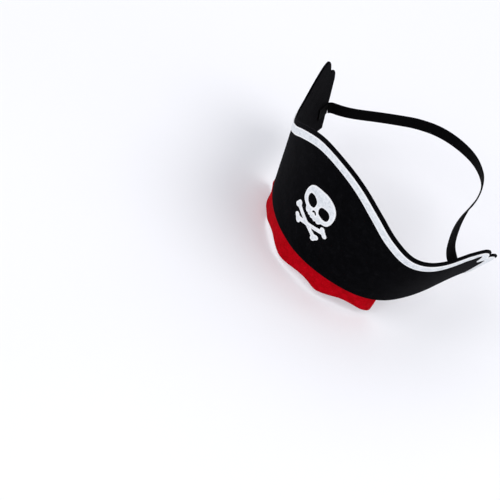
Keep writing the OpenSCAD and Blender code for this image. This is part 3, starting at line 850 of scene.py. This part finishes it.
def elastic_material():
    """Black knitted elastic: rows of small loops along each rib."""
    N = Nodes("black_knitted_elastic")
    sep = N.node("ShaderNodeSeparateXYZ")
    N.link(N.p, sep.inputs[0])
    along, across = sep.outputs[0], sep.outputs[1]
    ribs = 11
    k = math.pi * ribs / (STRAP_W - 0.7)
    rib = N.math("ABSOLUTE", N.math("COSINE", N.math("MULTIPLY", N.math("ADD", across, STRAP_W / 2 - 0.35), k)))
    lean = N.math("MULTIPLY", N.math("ABSOLUTE", N.math("SINE", N.math("MULTIPLY", N.math("ADD", across, STRAP_W / 2 - 0.35), k))), 1.9)
    loop = N.math("SINE", N.math("ADD", N.math("MULTIPLY", along, 2 * math.pi / 0.95), lean))
    loop = N.span(loop, -1, 1, 0, 1)
    fuzz = N.noise(3.0, 3.0, 0.6)
    v = N.math("MULTIPLY", loop, rib)
    v = N.math("ADD", v, N.math("MULTIPLY", N.math("SUBTRACT", fuzz, 0.5), 0.6))
    # painted shade: the elastic's colour follows its knit relief, darkest in the grooves between ribs and between loops
    # and lighter on their crests
    col = N.ramp(v, [(0.0, (0.0003, 0.0003, 0.0005)), (0.6, (0.0010, 0.0010, 0.0014)), (1.0, (0.0035, 0.0035, 0.0044))])
    N.link(col, N.b.inputs["Base Color"])
    N.link(N.span(fuzz, 0.3, 0.7, 0.6, 0.8), N.b.inputs["Roughness"])
    N.b.inputs["Specular IOR Level"].default_value = 0.03
    N.b.inputs["Sheen Weight"].default_value = 0.006
    h = N.math("ADD", N.math("MULTIPLY", loop, 0.8), N.math("MULTIPLY", rib, 0.6))
    h = N.math("ADD", h, N.math("MULTIPLY", fuzz, 0.4))
    N.bump(h, 0.00016, 0.9)
    return N.m


def glue_material():
    N = Nodes("cloudy_glue")
    a = N.noise(0.6, 3.0, 0.6, 0.5)
    b = N.noise(2.5, 2.0, 0.5)
    N.link(N.ramp(a, [(0.3, (0.62, 0.60, 0.50)), (0.7, (0.82, 0.80, 0.72))]), N.b.inputs["Base Color"])
    N.link(N.span(b, 0.3, 0.7, 0.25, 0.45), N.b.inputs["Roughness"])
    N.bump(N.math("ADD", a, N.math("MULTIPLY", b, 0.3)), 0.0002, 0.5)
    return N.m


BLACK = felt_material("black_wool_felt", (0.0004, 0.0004, 0.0006), (0.0012, 0.0012, 0.0017), (0.0046, 0.0045, 0.0054), 0.024, (0.75, 0.75, 0.84), seed=0.0, spec=0.012)
RED = felt_material("red_wool_felt", (0.33, 0.0002, 0.0030), (0.46, 0.0004, 0.0058), (0.60, 0.0012, 0.0110), 0.015, (1.0, 0.2, 0.25), seed=21.0, spec=0.02)
WHITE = white_material("white_bonded_layer", 5.0)
ELASTIC = elastic_material()
GLUE = glue_material()


def finish_piece(ob, material, node):
    ob.data.materials.append(material)
    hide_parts(node)
    return ob


def flex(ob, side):
    """Reads the felt's flat coordinates and two points on the flex line, then only bakes the object's transform into
    its mesh; nothing is turned.
    """
    me = ob.data
    flat = np.zeros(len(me.vertices) * 3, np.float32)
    me.attributes["flat"].data.foreach_get("vector", flat)
    flat = flat.reshape(-1, 3).astype(float)
    a, b = felt(side * 95.0, 30.0)/1000, felt(side * 112.0, 30.0)/1000
    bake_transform(ob)


# ---------------------------------------------------------------- the pieces
front = finish_piece(panel_front(), BLACK, "felt_front_panel")
left = finish_piece(panel_wing(-1), BLACK, "felt_left_wing")
right = finish_piece(panel_wing(1), BLACK, "felt_right_wing")
edge_f = finish_piece(edging_front(), WHITE, "white_edging_front")
edge_l = finish_piece(edging_wing(-1), WHITE, "white_edging_left_wing")
edge_r = finish_piece(edging_wing(1), WHITE, "white_edging_right_wing")
skull = finish_piece(plate("skull_badge_plate", [closed_curve(SKULL), closed_curve(EYE_L), closed_curve(EYE_R), closed_curve(NOSE, 0.4)], puff=0.14),
                     WHITE, "skull_badge")
bones = finish_piece(plate("crossbones_badge_plate", contour(bones_field, -26, 23, 21, 53), puff=0.1), WHITE, "crossbones_badge")
red = finish_piece(frill(), RED, "red_frill")
line = finish_piece(glue_line(), GLUE, "frill_glue_line")
strap, strap_length = elastic()
finish_piece(strap, ELASTIC, "elastic_strap")
end_l = finish_piece(strap_end(-1), ELASTIC, "left_strap_end")
end_r = finish_piece(strap_end(1), ELASTIC, "right_strap_end")
dab_l = finish_piece(glue_dab(-1), GLUE, "left_glue_dab")
dab_r = finish_piece(glue_dab(1), GLUE, "right_glue_dab")

for ob in (front, edge_f, skull, bones, line):
    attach(ob, "front")
flex(red, -1)
flex(left, -1)
flex(edge_l, -1)
flex(right, 1)
flex(edge_r, 1)
for ob in (end_l, dab_l):
    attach(ob, "left_wing")
for ob in (end_r, dab_r):
    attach(ob, "right_wing")
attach(strap, "strap")
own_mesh(strap)


def flat_area(ob):
    """Area of the cut, from the outer face's flat coordinates, in square metres."""
    me = ob.data
    me.calc_loop_triangles()
    f = np.zeros(len(me.vertices) * 3, np.float32)
    me.attributes["flat"].data.foreach_get("vector", f)
    f = f.reshape(-1, 3)[:, :2].astype(float)
    t = np.zeros(len(me.loop_triangles) * 3, np.int32)
    me.loop_triangles.foreach_get("vertices", t)
    t = f[t.reshape(-1, 3)]
    a, b = t[:, 1] - t[:, 0], t[:, 2] - t[:, 0]
    return float(np.abs(a[:, 0] * b[:, 1] - a[:, 1] * b[:, 0]).sum() / 2 / 2) * 1e-6


def flat_size(ob):
    f = np.zeros(len(ob.data.vertices) * 3, np.float32)
    ob.data.attributes["flat"].data.foreach_get("vector", f)
    f = f.reshape(-1, 3)
    return float(np.ptp(f[:, 0])) / 1000, float(np.ptp(f[:, 1])) / 1000


for ob, held, on, carries in ((front, "stretched", ["elastic_strap_knit"], [edge_f, skull, bones]),
                              (left, "stretched", ["felt_front_panel_soft"], [edge_l]),
                              (right, "stretched", ["felt_front_panel_soft"], [edge_r]),
                              (red, "hung", ["felt_front_panel_soft"], [])):
    w, l = flat_size(ob)
    round(flat_area(ob), 6)
    print("sheet", ob.name, round(w * 1000, 1), round(l * 1000, 1), "area cm2", round(flat_area(ob) * 1e4, 1))
for ob in (edge_f, edge_l, edge_r, skull, bones):
    print("layer", ob.name, [round(v * 1000, 1) for v in flat_size(ob)], "area cm2", round(flat_area(ob) * 1e4, 2))
print("strap free length mm", round(strap_length, 1))

# ---------------------------------------------------------------- floor and light
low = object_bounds()[0][2]


def floor():
    me = bpy.data.meshes.new("studio_floor")
    r = 6.0
    n = 24
    x = np.linspace(-r, r, n + 1)
    v = [(float(a), float(b), low - 0.0003) for a in x for b in x]
    f = [(i * (n + 1) + j, (i + 1) * (n + 1) + j, (i + 1) * (n + 1) + j + 1, i * (n + 1) + j + 1) for i in range(n) for j in range(n)]
    me.from_pydata(v, [], f)
    ob = bpy.data.objects.new("studio_floor", me)
    bpy.context.scene.collection.objects.link(ob)
    N = Nodes("pale_floor")
    co = N.node("ShaderNodeTexCoord")
    s = N.noise(3.0, 2.0, 0.5, 0.0, co.outputs["Object"])
    N.link(N.ramp(s, [(0.3, (0.862, 0.868, 0.895)), (0.7, (0.88, 0.885, 0.91))]), N.b.inputs["Base Color"])
    N.b.inputs["Roughness"].default_value = 0.9
    N.b.inputs["Specular IOR Level"].default_value = 0.1
    me.materials.append(N.m)


floor()


def area_light(name, place, target, size, power, colour=(1, 1, 1)):
    d = bpy.data.lights.new(name, "AREA")
    d.shape = "DISK"
    d.size = size
    d.energy = power
    d.color = colour
    o = bpy.data.objects.new(name, d)
    bpy.context.scene.collection.objects.link(o)
    p, q = np.array(place, float), np.array(target, float)
    z = unit(p - q)
    x = unit(np.cross([0, 0, 1.0], z)) if abs(z[2]) < 0.99 else np.array([1.0, 0, 0])
    y = np.cross(z, x)
    o.matrix_world = Matrix([[x[i], y[i], z[i], p[i]] for i in range(3)] + [[0, 0, 0, 1]])
    return o


# the key stands to the right of the hat and behind it, the fill over the front
area_light("key_light", (1.5, 0.5, 2.6), (0, 0, 0), 1.9, 26, (1.0, 0.99, 0.98))
area_light("fill_light", (-0.4, -2.0, 2.6), (0, 0, 0), 2.2, 20, (0.96, 0.97, 1.0))
world = bpy.data.worlds.new("studio_world")
world.use_nodes = True
bg = world.node_tree.nodes["Background"]
bg.inputs[0].default_value = (0.96, 0.962, 1.0, 1)
bg.inputs[1].default_value = 0.84
bpy.context.scene.world = world
bpy.context.scene.view_settings.view_transform = "Standard"
